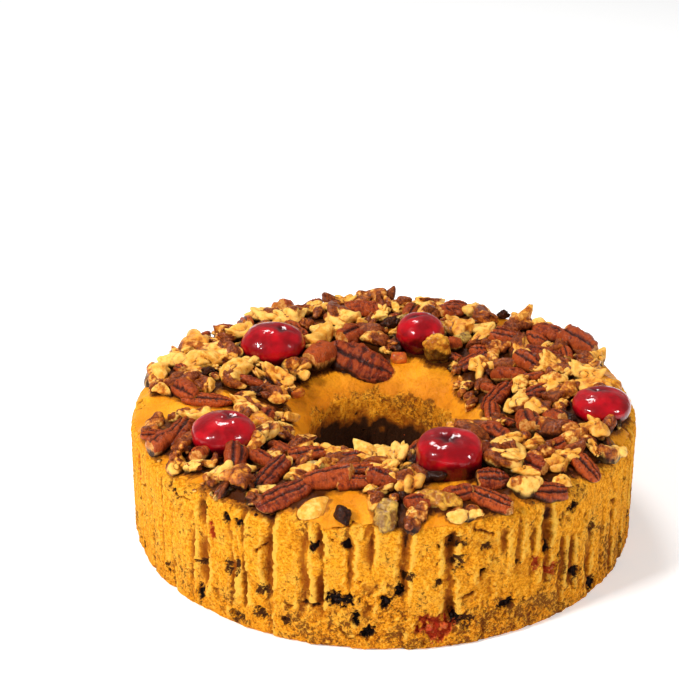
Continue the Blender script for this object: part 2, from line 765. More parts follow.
dough = {
    "outerRadius": 87.5, "shoulderHeight": 39.5, "crownHeight": 45.0, "crownRadius": 68.0, "boxiness": 0.75,
    "holeRadius": 25.5, "holeTaper": 1.5, "holeRimHeight": 31.0, "lipRadius": 33.0, "lipHeight": 38.0,
    "slope": 2.0, "slopeBearing": 130.0, "unevenness": 0.9, "unevennessSpan": 26.0,
    "footRadius": 1.3,
    "columns": 1060,         # round the wall; the top and the hole have half as many
    "wallStep": 0.58,
    "topStep": 1.1,
    # bearing and height where the smooth skin of the top ends and the pleated wall begins
    "skinEdge": ((0, 42.5), (60, 42.2), (120, 42.5), (180, 42.5), (203, 42.3), (243, 42.8), (250, 43.2),
                 (258, 42.6), (266, 42.6), (274, 42.2), (277, 40.8), (281, 41.8), (285, 41.0), (290, 41.8),
                 (300, 42.8), (340, 43), (360, 42.5)),
    "rise": 1.5,             # dough drawn up round the toppings
    "paleBearing": 205.0,    # the side that baked least
}

# raisins and fruit baked into the wall: kind, bearing, height, width, tallness
wallBits = [
    ("raisin", 261.5, 18, 10, 4.6), ("raisin", 263, 37.5, 2.6, 3.4), ("raisin", 256, 36, 2.6, 3.6),
    ("raisin", 265, 12, 2.6, 5), ("raisin", 267.3, 6.5, 4.8, 4.4), ("husk", 250, 7.3, 4.6, 4.2),
    ("husk", 244.5, 16.5, 5.2, 5), ("husk", 244, 7.6, 5, 4), ("raisin", 229.3, 38.8, 3, 4),
    ("raisin", 235.3, 38.2, 3.6, 3.6), ("raisin", 238.8, 38.4, 3, 3), ("husk", 227.5, 17.6, 4, 3.4),
    ("raisin", 227.4, 5.6, 3.2, 6), ("husk", 235.6, 21, 2.4, 7), ("husk", 238.3, 22, 2.4, 7),
    ("husk", 238.3, 3.8, 6, 4), ("fruit", 199.6, 32.5, 2.2, 9), ("fruit", 231.5, 32, 2.6, 4.6),
    ("husk", 201.3, 4.4, 3.6, 5), ("husk", 216, 7.3, 3, 5), ("raisin", 220, 38, 2.6, 3),
    ("raisin", 285, 37.8, 7.5, 3.2), ("husk", 286, 31, 5, 7), ("husk", 282, 24.5, 2, 3),
    ("raisin", 273.7, 22, 3.6, 4), ("raisin", 271, 18.4, 3.6, 4.4), ("husk", 275.7, 27, 6, 3.6),
    ("raisin", 291.7, 26, 2.4, 2.4), ("raisin", 297.4, 12, 5.6, 3.6), ("fruit", 281.6, 7.6, 10, 9),
    ("raisin", 285.6, 10, 3.6, 5), ("husk", 288.2, 9, 5, 4.4), ("husk", 292.5, 34.8, 4.6, 3),
    ("raisin", 314.6, 38.8, 3.4, 3.6), ("husk", 306.4, 37, 3, 5), ("husk", 322.2, 26.8, 3.6, 4),
    ("raisin", 307.4, 28.3, 2.4, 5), ("raisin", 311.1, 23.4, 2.6, 2.6), ("husk", 314.8, 22.2, 2.4, 3),
    ("raisin", 316.6, 13.7, 3.4, 4), ("husk", 320.2, 14.5, 2, 8), ("raisin", 323.6, 3.4, 4.4, 5.6),
    ("fruit", 304.6, 24, 3, 5.4), ("fruit", 309.2, 19.2, 4.6, 4), ("husk", 338.7, 7.6, 4, 5),
    ("husk", 300, 26.3, 2.6, 2.6),
]


# folds that the paper case pressed into the near side: bearing, width, depth, lowest and highest point
nearFolds = [
    (196, 1.0, 0.4, 4, 34), (200.5, 0.9, 0.5, 0, 40), (204.5, 1.2, 0.5, 6, 42), (209, 1.1, 0.5, 0, 30),
    (214, 0.9, 0.5, 8, 42), (218.3, 1.1, 0.8, 0, 13), (225, 1.5, 0.7, 2, 36), (229, 1.9, 1.5, 0, 46),
    (236.8, 0.8, 1.0, 6, 44), (239.8, 0.9, 1.4, 8, 44), (246.3, 1.6, 2.0, 10, 48), (253.9, 1.6, 1.1, 10, 42),
    (257.1, 1.2, 1.7, 11, 43), (263.9, 0.9, 0.8, 22, 44), (267.6, 1.7, 1.6, 9, 44), (275.2, 1.3, 1.2, 19, 44),
    (284.6, 1.5, 2.0, 7, 40), (291.4, 1.0, 0.7, 4, 16), (296.8, 1.2, 1.0, 17, 38), (300.2, 1.0, 0.6, 20, 40),
    (303.8, 1.0, 0.9, 10, 36), (307.4, 1.5, 1.6, 17, 46), (312.2, 1.2, 1.0, 5, 28), (315.5, 1.4, 1.1, 7, 28),
    (321.9, 1.6, 1.2, 4, 28), (327, 1.1, 0.6, 10, 40), (332, 1.4, 0.9, 3, 26), (339, 1.2, 0.8, 0, 36),
    (345, 1.5, 1.0, 6, 44),
]


# patches of the wall that are torn: bearing, height, half width in degrees, half height
tornPlaces = [
    (290.5, 25, 6, 13), (243, 18, 3.2, 6), (262, 10, 8, 6), (301, 16, 6, 7), (232, 6, 7, 5), (277, 8, 8, 6),
]


# short cracks in the wall: bearing, height, half length in degrees, lean
cracks = [
    (255.2, 14.6, 2.2, -0.4), (287.8, 17.0, 2.4, 0.2), (262.6, 42.4, 3.2, 0.1), (291.6, 38.2, 3.0, -0.8),
    (265.3, 24.3, 1.0, 0.2), (331.5, 28.0, 2.0, -0.8), (223.0, 38.5, 2.4, 0.3), (250.5, 13.0, 1.0, 0.5),
    (282.5, 23.8, 0.7, 0.0), (203.0, 29.0, 3.0, 0.6), (311.5, 34.0, 1.4, -0.3), (244.0, 31.5, 1.4, 1.4),
]


def wallFolds():
    # the far side is folded as unevenly as the near one
    rng = random.Random(7)
    folds, bearing = list(nearFolds), -10.0
    while bearing < 190.0:
        bearing += rng.uniform(3.0, 8.5)
        lowest = rng.choice((0.0, 0.0, 5.0, 14.0))
        width, deep = rng.uniform(0.8, 1.7), rng.uniform(0.5, 1.9)
        folds.append((bearing % 360.0, width, deep, lowest, rng.uniform(28.0, 48.0)))
    return sorted(folds)


wallTexture = {
    "setBack": 0.5,          # how unevenly the panels between two folds stand
    "tilt": (-0.2, 0.9),     # how far each panel leans back at its end
    "jag": 0.75,
    "bend": 0.9,
    "foldGain": 1.2,
    "tornDepth": 0.4,
    "crumbs": ((2.2, 0.2, 45), (1.1, 0.22, 48)),    # size, height, seed
    "pitSize": 5.5, "pitShare": 0.4, "pitDepth": 0.9,
    "crackWidth": 0.45, "crackDepth": 1.1,
}


def randomWallBits():
    # the far side has as many of them as the near one
    rng = random.Random(5)
    return [
        (rng.choices(("raisin", "husk", "fruit"), (5, 4, 1.3))[0], rng.uniform(-16.0, 192.0),
         rng.uniform(3.0, 37.0), rng.uniform(2.0, 6.5), rng.uniform(2.5, 6.0))
        for _ in range(48)
    ]


def resample(line, step):
    gaps = np.hypot(*np.diff(line, axis=0).T)
    along = np.concatenate([[0.0], np.cumsum(gaps)])
    even = np.linspace(0.0, along[-1], max(2, round(along[-1] / step)) + 1)
    return np.stack([np.interp(even, along, line[:, 0]), np.interp(even, along, line[:, 1])], 1)


def smoothThrough(points, steps=24):
    # a smooth line through all but the first and last of the points
    made = []
    for a, b, c, d in zip(points, points[1:], points[2:], points[3:]):
        for t in np.linspace(0.0, 1.0, steps, endpoint=False):
            made.append(0.5 * (2 * b + (c - a) * t + (2 * a - 5 * b + 4 * c - d) * t ** 2
                               + (3 * b - a - 3 * c + d) * t ** 3))
    return np.array(made + [points[-2]])


def ringSection():
    d = dough
    outer, crown, foot = d["outerRadius"], d["crownRadius"], d["footRadius"]
    turn = np.linspace(0.0, math.pi / 2.0, 8)
    footLine = np.stack([outer - foot + foot * np.sin(turn), foot - foot * np.cos(turn)], 1)
    turn = np.linspace(0.0, math.pi / 2.0, 60)
    over = np.stack([crown + (outer - crown) * np.clip(np.cos(turn), 0.0, 1.0) ** d["boxiness"],
                     d["shoulderHeight"] + (d["crownHeight"] - d["shoulderHeight"]) * np.sin(turn)], 1)
    rimRadius = d["holeRadius"] + (d["lipRadius"] - d["holeRadius"]) * 0.22
    inner = smoothThrough(np.array([
        (crown + 9.0, d["crownHeight"] - 0.4), (crown, d["crownHeight"]),
        ((crown + d["lipRadius"]) / 2.0, d["lipHeight"] + (d["crownHeight"] - d["lipHeight"]) * 0.72),
        (d["lipRadius"], d["lipHeight"]), (rimRadius, (d["holeRimHeight"] + d["lipHeight"]) / 2.0),
        (d["holeRadius"], d["holeRimHeight"]), (d["holeRadius"] + 0.5, 20.0),
        (d["holeRadius"] + d["holeTaper"], 0.0),
        (d["holeRadius"] + 2.0, -8.0),
    ]))
    wallEnd = over[over[:, 0] > 81.0]
    wall = resample(np.concatenate([footLine, wallEnd]), d["wallStep"])
    top = resample(np.concatenate([wall[-1:], over[len(wallEnd):], inner[1:]]), d["topStep"])
    base = resample(np.array([top[-1], footLine[0]]), 6.0)
    return wall, top[1:], base[1:-1]


def patchAt(degrees, height, bearing, middle, halfWide, halfTall, ragged):
    away = ((degrees - bearing + 180.0) % 360.0 - 180.0) / halfWide
    return smoothStep(1.25, 0.7, np.hypot(away, (height - middle) / halfTall) + ragged)


def topChange(angle, radius):
    d = dough
    lean = d["slope"] * np.cos(angle - math.radians(d["slopeBearing"])) * radius / d["outerRadius"]
    places = np.stack([np.cos(angle), np.sin(angle), 0.0 * angle], 1) * radius[:, None] / d["unevennessSpan"]
    return d["unevenness"] * np.array([noise.noise(place) for place in places.tolist()]) - lean


def wallRelief(angle, height, places):
    # how far the wall lies behind the outer radius, with marks for what it shows there
    w = wallTexture
    folds = np.array(wallFolds())
    centres = folds[:, 0]
    rng = np.random.default_rng(11)
    setBacks = rng.uniform(0.0, w["setBack"], len(folds))
    tilts = rng.uniform(*w["tilt"], len(folds))
    edges = rng.uniform(-0.9, 0.6, len(folds))
    fineRag = layered(places, 1.5, 2, 49)
    jagged = layered(places * (1.0, 1.0, 1.2), 2.0, 3, 40)
    bend = rolling(places * (1.0, 1.0, 0.5), 8.0, 41)
    degrees = np.degrees(angle + (w["jag"] * jagged + w["bend"] * bend) / dough["outerRadius"]) % 360.0
    index = np.searchsorted(centres, degrees) % len(folds)
    start = centres[index - 1]
    into = ((degrees - start) % 360.0) / ((centres[index] - start) % 360.0)

    # the folds themselves: slow in on one side, sharp on the other
    varied = np.clip(0.9 + 0.9 * rolling(places * (1.0, 1.0, 0.8), 7.0, 42), 0.12, 1.5)
    wavy = 2.5 * rolling(places, 6.0, 50)
    fold = np.zeros(len(angle))
    for bearing, width, deep, lowest, highest in folds:
        across = ((degrees - bearing + 180.0) % 360.0 - 180.0) / width
        shape = smoothStep(-1.6, 0.1, across) * smoothStep(0.62, 0.36, across)
        reach = smoothStep(lowest - 3.0, lowest + 2.5, height + wavy)
        reach = reach * smoothStep(highest + 1.0, highest - 3.0, height)
        fold = np.maximum(fold, deep * shape * reach)
    fold = fold * varied * w["foldGain"]

    # torn patches, crumbs, pits and cracks
    torn = smoothStep(0.2, 0.42, layered(places * (1.0, 1.0, 0.75), 11.0, 3, 44))
    torn = 0.9 * torn * smoothStep(2.0, 8.0, height)
    rough = 0.35 * layered(places, 5.0, 2, 52)
    for patch in tornPlaces:
        torn = np.maximum(torn, patchAt(degrees, height, *patch, rough))
    bent = places + 0.9 * np.stack([rolling(places, 3.0, seed) for seed in (56, 57, 58)], 1)
    _, plate = nearestDot(bent * (1.0, 1.0, 1.3), 5.0, 59)
    lumps = (0.5 * layered(places, 3.4, 2, 54) + 0.9 * (plate - 0.4)) * torn
    crumbs = sum(rise * layered(places, size, 2, seed) for size, rise, seed in w["crumbs"])
    pit, chance = nearestDot(places * (1.0, 1.0, 0.8), w["pitSize"], 46)
    width = 0.3 + 1.3 * chance
    pits = np.where(chance < w["pitShare"], smoothStep(width, width * 0.4, pit + 0.6 * fineRag), 0.0)
    crack = np.zeros(len(angle))
    for bearing, middle, half, lean in cracks:
        away = (degrees - bearing + 180.0) % 360.0 - 180.0
        line = height - middle - lean * away - 0.9 * rolling(places, 2.6, 55) - 0.4 * fineRag
        sharp = np.exp(-(line / w["crackWidth"]) ** 2)
        crack = np.maximum(crack, sharp * smoothStep(half, half * 0.6, np.abs(away)))

    bearings, heights = zip(*dough["skinEdge"])
    edge = np.interp(np.degrees(angle), bearings, heights) + edges[index]
    edge += 0.5 * rolling(places, 9.0, 47) + 0.6 * jagged
    below = smoothStep(0.35, -0.35, height - edge)
    flat = 1.0 - 0.75 * torn
    depth = below * (
        0.35 + setBacks[index] * flat + fold * flat + tilts[index] * into ** 2 * flat + w["tornDepth"] * torn
        + lumps + crumbs + w["pitDepth"] * pits + w["crackDepth"] * crack)
    low = 0.42 * np.clip(fold, 0.0, 1.4) * flat + 0.7 * pits + 0.95 * crack + 0.25 * torn * (plate > 0.75)
    return np.maximum(depth, 0.0), below, below * np.clip(low, 0.0, 1.0), torn


def stainsAt(points, bits):
    # raisins, husks and fruit show through the wall with ragged edges
    marks = {"dark": np.zeros(len(points)), "red": np.zeros(len(points))}
    ragged = 0.85 * layered(points, 1.7, 3, 52) + 0.3 * rolling(points, 3.5, 53)
    for kind, bearing, height, wide, tall in bits:
        turn = math.radians(bearing)
        x, y = flatPlace(bearing, 87.0)
        sideways = -math.sin(turn) * (points[:, 0] - x) + math.cos(turn) * (points[:, 1] - y)
        near = np.abs(points[:, :2] - (x, y)).max(axis=1) < wide + 3.0
        ratio = np.sqrt((sideways / (wide / 2.0)) ** 2 + ((points[:, 2] - height) / (tall / 2.0)) ** 2)
        share = np.where(near, smoothStep(1.6, 0.5, ratio + ragged), 0.0)
        if kind == "husk":
            share = share * 0.7
        mark = "red" if kind == "fruit" else "dark"
        marks[mark] = np.maximum(marks[mark], share)
    return marks


def standsProud(depth, wallPoints, columns, reach=4):
    # how far each point of the wall stands out from the ring of points round it
    grid = depth[:wallPoints].reshape(-1, columns)
    around = sum(np.roll(grid, step, axis=1) for step in range(-reach, reach + 1)) / (2 * reach + 1)
    proud = np.zeros(len(depth))
    proud[:wallPoints] = np.clip((around - grid) / 0.5, -1.0, 1.0).ravel()
    return proud


def drawnUp(points):
    # dough and syrup climb a little round each topping
    rise = np.zeros(len(points))
    for x, y, a, b, yaw in feet:
        away = points[:, :2] - (x, y)
        near = np.nonzero(np.abs(away).max(axis=1) < a + 6.0)[0]
        u = away[near, 0] * math.cos(yaw) + away[near, 1] * math.sin(yaw)
        v = away[near, 1] * math.cos(yaw) - away[near, 0] * math.sin(yaw)
        ratio = np.sqrt((u / a) ** 2 + (v / b) ** 2)
        gap = np.maximum(ratio - 1.0, 0.0) * b
        rise[near] = np.maximum(rise[near], np.exp(-(gap / 1.7) ** 2))
    return rise


def makeDough():
    d = dough
    wall, top, base = ringSection()
    many, few = d["columns"], d["columns"] // 2
    fineTurns = np.linspace(0.0, 2.0 * math.pi, many, endpoint=False)
    coarseTurns = fineTurns[::2]
    section = np.concatenate([wall, top, base])
    ahead = np.gradient(section, axis=0)
    outward = np.stack([ahead[:, 1], -ahead[:, 0]], 1)
    outward /= np.linalg.norm(outward, axis=1)[:, None]
    counts = [many] * len(wall) + [few] * (len(top) + len(base))
    angle = np.concatenate([fineTurns if count == many else coarseTurns for count in counts])
    row = np.repeat(np.arange(len(section)), counts)
    radius, height = section[row, 0], section[row, 1]
    out = outward[row]
    side = np.stack([np.cos(angle), np.sin(angle)], 1)
    places = np.column_stack([side * radius[:, None], height])
    isBase = row >= len(wall) + len(top)

    depth, below, low, torn = wallRelief(angle, height, places)
    onWall = smoothStep(d["outerRadius"] - 8.5, d["outerRadius"] - 4.5, radius)
    depth, low, below, torn = depth * onWall, low * onWall, below * onWall, torn * onWall

    proud = standsProud(depth, len(wall) * many, many) * below
    inHole = (radius < d["lipRadius"] + 3.0) & ~isBase
    edge = 33.5 + 2.2 * rolling(places, 7.0, 66) + 1.4 * layered(places, 2.4, 2, 60)
    holeWall = np.where(inHole, smoothStep(0.8, -0.8, height - edge), 0.0)
    ragged = layered(places, 5.0, 3, 61)
    holes, chance = nearestDot(places, 5.5, 62)
    fineRag = layered(places, 1.6, 2, 67)
    holeBits = smoothStep(0.7 + 1.6 * chance, 0.2, holes + 0.6 * fineRag)
    holeBits = np.where(chance < 0.75, holeBits, 0.0) * holeWall
    onTop = (~isBase) & (height > 34.0)
    swell = 0.35 * layered(places, 9.0, 2, 63) + 0.1 * layered(places, 2.6, 2, 64)
    lift = np.where(onTop, swell * smoothStep(34.0, 40.0, height) * (1.0 - 0.7 * onWall), 0.0)
    lift += holeWall * (0.8 * ragged + 0.35 * fineRag - 0.8 * holeBits - 0.3)

    radiusNow = radius - depth + out[:, 0] * lift
    heightNow = height + out[:, 1] * lift
    heightNow = heightNow + topChange(angle, radiusNow) * smoothStep(0.0, d["lipHeight"], height)
    points = np.column_stack([side * radiusNow[:, None], heightNow])
    bits = wallBits + randomWallBits()
    stains = stainsAt(points, bits)
    stained = np.maximum(stains["dark"], stains["red"]) * onWall * below
    points[:, :2] -= side * (smoothStep(0.35, 0.9, stained) * (1.5 + 0.7 * fineRag))[:, None]
    rise = drawnUp(points) * np.where(onTop, smoothStep(33.0, 39.0, height), 0.0)
    points[:, 2] += rise * d["rise"] * (1.0 - 0.5 * onWall)
    points = np.clip(points, np.array(cadLow) / mm, np.array(cadHigh) / mm)
    points[isBase, 2] = 0.0

    crumb = np.clip(below + holeWall + isBase, 0.0, 1.0)
    browned = 0.75 * smoothStep(24.0, 3.0, height) * onWall + 0.15 * (1.0 - torn) * onWall
    browned += 0.6 * holeWall + 0.3 * isBase + 0.5 * stained
    browned += 0.55 * layered(places, 12.0, 2, 65) * crumb
    browned -= 0.45 * smoothStep(0.5, 1.0, np.cos(angle - math.radians(d["paleBearing"]))) * onWall
    browned += np.where(inHole, 0.9 * smoothStep(41.0, 34.0, height) * (1.0 - holeWall), 0.0)
    gloom = height + 3.0 * ragged - 5.5 * np.cos(angle - math.radians(150.0))
    low = low + holeWall * (0.25 * (1.0 - ragged) + smoothStep(26.0, 13.0, gloom))
    marks = {
        "crumb": crumb, "low": np.clip(low, 0.0, 1.0), "browned": np.clip(browned, 0.0, 1.0), "proud": proud,
        "dark": np.maximum(stains["dark"] * onWall * below, holeBits),
        "red": stains["red"] * onWall * below,
    }
    faces = gridFaces(len(wall), many)
    last, nextRing = (len(wall) - 1) * many, len(wall) * many
    for i in range(few):
        a, b, c = last + 2 * i, last + 2 * i + 1, last + (2 * i + 2) % many
        e, f = nextRing + i, nextRing + (i + 1) % few
        faces += [[a, b, e], [b, f, e], [b, c, f]]
    faces += gridFaces(len(top) + len(base), few, nextRing)
    lastRing = nextRing + (len(top) + len(base) - 1) * few
    for i in range(few):
        a, b, c = 2 * i, 2 * i + 1, (2 * i + 2) % many
        e, f = lastRing + i, lastRing + (i + 1) % few
        faces += [[e, b, a], [e, f, b], [f, c, b]]
    piece = showPiece("doughRing", points, faces, looks["dough"], "crumb", ["cake"], **marks)
    print("dough ring:", len(points), "points")
    return piece, bits


doughRing, bakedIn = makeDough()


# cherries

cherryShape = {
    "rows": 56, "columns": 84, "sink": 1.4,
    # squareness seen from above and from the side, dimple depth, dimple lean (x, y), number of folds
    "cherry_01": (2.1, 2.1, 0.10, (0.25, 0.1), 3),
    "cherry_02": (2.3, 3.3, 0.12, (-0.05, -0.12), 6),
    "cherry_03": (2.2, 2.2, 0.08, (-0.2, 0.2), 2),
    "cherry_04": (2.1, 2.3, 0.08, (-0.2, 0.1), 3),
    "cherry_05": (2.1, 2.1, 0.09, (0.3, -0.1), 3),
}


def makeCherry(name):
    around, upright, dimple, lean, folds = cherryShape[name]
    low, high = (np.array(corner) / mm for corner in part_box(name))
    low = low - (0.0, 0.0, cherryShape["sink"])
    rng = np.random.default_rng(sum(map(ord, name)))
    skin, faces = ball((0.0, 0.0, 0.0), 1.0, cherryShape["columns"], cherryShape["rows"])
    stone = np.array([lean[0], lean[1], 1.0])
    stone /= np.linalg.norm(stone)
    facing = skin @ stone
    beside = np.sqrt(np.clip(1.0 - facing ** 2, 0.0, 1.0))
    turn = np.arctan2(skin[:, 1] - lean[1], skin[:, 0] - lean[0])
    level = (np.abs(skin[:, :2]) ** around).sum(axis=1) ** (upright / around)
    boxy = (level + np.abs(skin[:, 2]) ** upright) ** (-1.0 / upright)
    near = np.where(facing > 0.0, np.exp(-(beside / 0.2) ** 2), 0.0)
    creases = np.zeros(len(skin))
    for fold in range(folds):
        at = 2.0 * math.pi * (fold + rng.uniform(-0.25, 0.25)) / folds
        away = (turn - at + math.pi) % (2.0 * math.pi) - math.pi
        width = 0.1 + 0.1 * beside
        reach = rng.uniform(0.45, 0.9)
        creases += np.exp(-(away * beside / width) ** 2) * smoothStep(reach, 0.2, beside) * (facing > 0.0)
    dents = 0.035 * layered(skin, 0.9, 2, int(rng.integers(99)))
    form = skin * (boxy * (1.0 - dimple * near - 0.045 * np.clip(creases, 0.0, 1.2) + dents))[:, None]
    form = (form - form.min(axis=0)) / (form.max(axis=0) - form.min(axis=0))
    points = low + form * (high - low)
    showPiece(name + "_fruit", points, faces, looks["cherry"], "cherry", [name],
              low=np.clip(0.6 * near + 0.5 * creases, 0.0, 1.0))


for name in lying:
    if name.startswith("cherry"):
        makeCherry(name)
print("cherries made")


# pecans

pecanShape = {
    "rows": 60, "columns": 56, "sink": 1.2,
    "furrowDepth": 0.34, "furrowWidth": 0.15, "wrinkle": 0.14,
    # which pecans are broken at their near and far end, and which show one furrow only
    "broken": {
        "pecan_02": (0, 1), "pecan_04": (0, 0), "pecan_06": (1, 0), "pecan_07": (0, 1), "pecan_08": (1, 0),
        "pecan_09": (1, 1), "pecan_10": (0, 1), "pecan_11": (1, 1), "pecan_12": (0, 1), "pecan_13": (0, 0),
        "pecan_14": (1, 0), "pecan_15": (0, 1), "pecan_16": (0, 1), "pecan_17": (1, 0),
    },
    "oneFurrow": ("pecan_05", "pecan_12", "pecan_17"),
}


def pecanForm(rows, columns, seed, furrows, broken, wrinkle):
    # a pecan half in a box from -1 to 1, with its length on X and its back up
    rng = np.random.default_rng(seed)
    end = np.linspace(0.0, math.pi, rows)
    around = np.linspace(0.0, 2.0 * math.pi, columns, endpoint=False)
    s, turn = (grid.ravel() for grid in np.meshgrid(end, around, indexing="ij"))
    x = -np.cos(s)
    girth = (1.0 - np.abs(x) ** 2.5) ** 0.5 * (1.0 - 0.12 * x)
    y, z = np.cos(turn), np.sin(turn)
    place = np.stack([x * 2.2, y * girth, z * girth], 1) + seed % 13
    wander = 0.14 * rolling(np.stack([x * 1.3, 0.0 * x, 0.0 * x], 1) + seed % 7, 0.7, 3)
    groove = np.zeros(len(x))
    for furrow in furrows:
        depth = rng.uniform(0.75, 1.15)
        width = pecanShape["furrowWidth"] * rng.uniform(0.8, 1.3)
        groove += depth * np.exp(-((y - furrow - wander * (1.0 + furrow)) / width) ** 2) * (z > -0.1)
    faint = np.exp(-((np.abs(y - wander) - 0.68) / 0.08) ** 2) * (z > 0.0)
    cross = layered(place * (2.8, 1.0, 1.0), 1.1, 3, seed)
    ripple = np.abs(rolling(place * (2.4, 0.9, 0.9), 0.9, seed + 5))
    form = 1.0 - pecanShape["furrowDepth"] * np.clip(groove, 0.0, 1.2) - 0.1 * faint
    form = form * (1.0 + wrinkle * cross) + 1.5 * wrinkle * (np.clip(ripple, 0.0, 0.5) - 0.25)
    outline = 1.0 + 0.5 * wrinkle * cross + 0.9 * wrinkle * rolling(place * (1.3, 1.0, 1.0), 1.0, seed + 6)
    points = np.stack([x, y * girth * outline, z * girth * form], 1)
    cut = np.zeros(len(x))
    for side, isBroken in zip((-1.0, 1.0), broken):
        if isBroken:
            endPlace = np.stack([0.0 * x, points[:, 1], points[:, 2]], 1) + seed % 11
            chip = 0.13 * layered(endPlace, 0.7, 3, seed + 9)
            plane = rng.uniform(0.62, 0.76) + chip + rng.uniform(-0.2, 0.2) * points[:, 1]
            over = points[:, 0] * side - plane
            points[:, 0] = np.where(over > 0.0, side * (plane + 0.05 * over), points[:, 0])
            cut = np.maximum(cut, smoothStep(-0.01, 0.05, over))
    span = points.max(axis=0) - points.min(axis=0)
    points = (points - points.min(axis=0)) / span * 2.0 - 1.0
    cut = np.maximum(cut, smoothStep(-0.25, -0.6, z) * 0.8)
    low = np.clip(groove, 0.0, 1.0) * 0.85 + 0.4 * faint + 0.5 * smoothStep(0.12, 0.0, ripple)
    return points, gridFaces(rows, columns), cut, np.clip(low, 0.0, 1.0)


def makePecan(name):
    middle, axes, half = lying[name]
    seed = sum(map(ord, name)) * 7
    furrows = (0.0,) if name in pecanShape["oneFurrow"] else (-0.34, 0.34)
    broken = pecanShape["broken"].get(name, (0, 0))
    wrinkle = pecanShape["wrinkle"] * (1.6 if name == "pecan_05" else 1.0)
    rows, columns = pecanShape["rows"], pecanShape["columns"]
    points, faces, cut, low = pecanForm(rows, columns, seed, furrows, broken, wrinkle)
    points = points * half
    relief = np.clip(reliefOf(points, faces, 6) / 0.22, -1.0, 1.0)
    own = points.copy()
    points[:, 2] -= np.where(points[:, 2] < 0.0, -points[:, 2] / half[2], 0.0) * pecanShape["sink"]
    tone = np.random.default_rng(seed).uniform(-1.0, 1.0)
    showPiece(name + "_nut", points @ axes.T + middle, faces, looks["pecan"], "pecan", [name],
              cut=cut, low=low, tone=np.full(len(points), tone), relief=relief, own=own)


for name in lying:
    if name.startswith("pecan"):
        makePecan(name)
print("pecans made")


# walnuts

walnutShape = {
    "voxel": 0.42, "softening": 5, "sink": 1.0,
    "lobes": 1.7, "folds": 0.35,
    # smooth golden kernels, and those that kept most of their brown skin
    "golden": ("walnut_01", "walnut_03", "walnut_04", "walnut_11", "walnut_12", "walnut_16", "walnut_22",
               "walnut_24", "walnut_25", "walnut_26", "walnut_28", "walnut_07"),
    "brown": ("walnut_02", "walnut_13", "walnut_14", "walnut_18", "walnut_19", "walnut_20", "walnut_23",
              "walnut_27", "walnut_09"),
}


def weather(points, faces, seed, calm):
    # lobes, creases and scraps of brown skin on a smooth lump of walnut
    normals = readNormals(points, faces)
    place = points + seed % 17
    lobes = np.abs(rolling(place, 5.4, seed))
    folds = np.abs(rolling(place, 2.7, seed + 1))
    fine = layered(place, 1.3, 2, seed + 3)
    move = walnutShape["lobes"] * (np.clip(lobes, 0.0, 0.5) - 0.25) + walnutShape["folds"] * (folds - 0.25)
    moved = points + normals * (calm * move + 0.06 * fine)[:, None]
    skin = smoothStep(0.15, -0.3, rolling(place, 6.0, seed + 4) + 0.35 * rolling(place, 2.4, seed + 5))
    low = smoothStep(0.1, 0.0, lobes) * calm
    return moved, skin, np.clip(low, 0.0, 1.0)


def makeWalnut(name):
    middle, axes, half = lying[name]
    rng = np.random.default_rng(sum(map(ord, name)) * 3)
    seed = int(rng.integers(1, 900))
    points, faces = readMesh(nodes[name].data, 1.0 / mm)
    local = (points - middle) @ axes * (0.95, 0.9, 0.92) - (0.0, 0.0, walnutShape["sink"] * 0.4)
    parts = [(local, faces)]
    for side in (-1.0, 1.0):
        ear = half[1] * rng.uniform(0.34, 0.5)
        across, up = rng.uniform(-0.5, 0.5) * half[1], rng.uniform(0.0, 0.45) * half[2]
        parts.append(ball((side * (half[0] - ear * 0.9), across, up), np.array([ear * 1.15, ear, ear * 0.9])))
    parts.append(ball((0.0, 0.0, -half[2] * 0.55), half * (0.75, 0.7, 0.6)))
    smooth, quads = meltTogether(parts, walnutShape["voxel"], walnutShape["softening"])
    golden, brown = name in walnutShape["golden"], name in walnutShape["brown"]
    moved, skin, low = weather(smooth, quads, seed, 0.6 if golden else 1.0)
    limit = half + (0.3, 0.3, 0.0)
    moved[:, :2] = np.clip(moved[:, :2], -limit[:2], limit[:2])
    relief = np.clip(reliefOf(moved, quads, 8) / 0.3, -1.0, 1.0)
    tone = -0.8 if golden else rng.uniform(-1.0, 1.0)
    skin = skin * rng.uniform(0.3, 1.0)
    skin = skin + (-0.25 if golden else 0.45 if brown else rng.choice([-0.2, 0.0, 0.1]))
    showPiece(name + "_nut", moved @ axes.T + middle, quads, looks["walnut"], "walnut", [name],
              skin=skin, low=low, tone=np.full(len(moved), tone), relief=relief)


for name in lying:
    if name.startswith("walnut"):
        makeWalnut(name)
print("walnuts made")


# candied fruit

candiedShape = {
    "voxel": 0.45, "softening": 6,
    # redness, paleness, share of the height that shows
    "candied_fruit_01": (0.2, 0.0, 1.0),
    "candied_fruit_02": (0.0, 0.85, 0.7),
    "candied_fruit_03": (0.0, 0.35, 0.9),
    "candied_fruit_04": (0.0, 0.0, 1.0),
    "candied_fruit_05": (0.0, 0.1, 1.0),
}


def makeCandied(name):
    middle, axes, half = lying[name]
    seed = sum(map(ord, name)) * 5
    points, faces = readMesh(nodes[name].data, 1.0 / mm)
    local = (points - middle) @ axes
    smooth, quads = meltTogether([(local, faces)], candiedShape["voxel"], candiedShape["softening"])
    normals = readNormals(smooth, quads)
    folds = np.abs(rolling(smooth + seed % 19, 3.6, seed))
    dents = 0.5 * layered(smooth + seed % 19, 4.0, 2, seed) + 1.3 * (np.clip(folds, 0.0, 0.4) - 0.25)
    moved = smooth + normals * dents[:, None]
    redness, paleness, share = candiedShape[name]
    moved[:, 2] = -half[2] + (moved[:, 2] + half[2]) * share
    ones = np.ones(len(moved))
    showPiece(name + "_fruit", moved @ axes.T + middle, quads, looks["candied"], "candied_fruit", [name],
              redness=ones * redness, paleness=ones * paleness)


